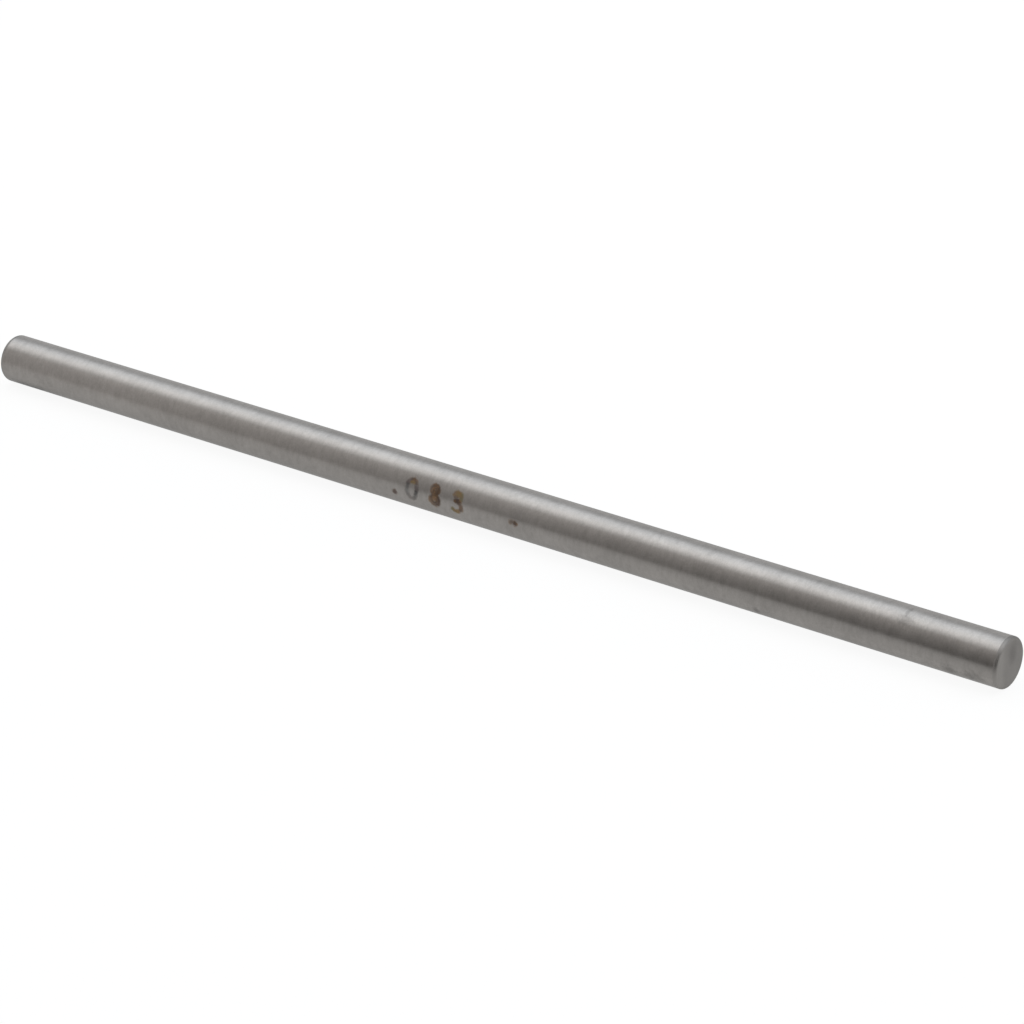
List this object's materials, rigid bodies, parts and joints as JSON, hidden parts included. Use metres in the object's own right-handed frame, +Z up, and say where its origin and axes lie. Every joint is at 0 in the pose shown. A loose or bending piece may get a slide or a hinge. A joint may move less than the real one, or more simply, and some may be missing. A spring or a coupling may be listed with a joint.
{
  "type": "pin gauge",
  "caption": "Plain cylindrical steel gauge pin with flat ends and lightly rounded edges, for trying the size of a hole.",
  "frame": {"origin": "on the pin's axis, halfway between the two end faces", "axes": "+X along the pin's axis, in the direction that its size mark reads; -Y is the side that carries the mark; +Z is up"},
  "size_m": [0.0508, 0.0022, 0.002],
  "materials": {
    "ground_steel": "hardened tool steel, centreless ground, with a fine satin shine and a size mark burnt in by laser"
  },
  "bodies": {
    "root": {"gauge_pin": "ground_steel"}
  },
  "joints": []
}
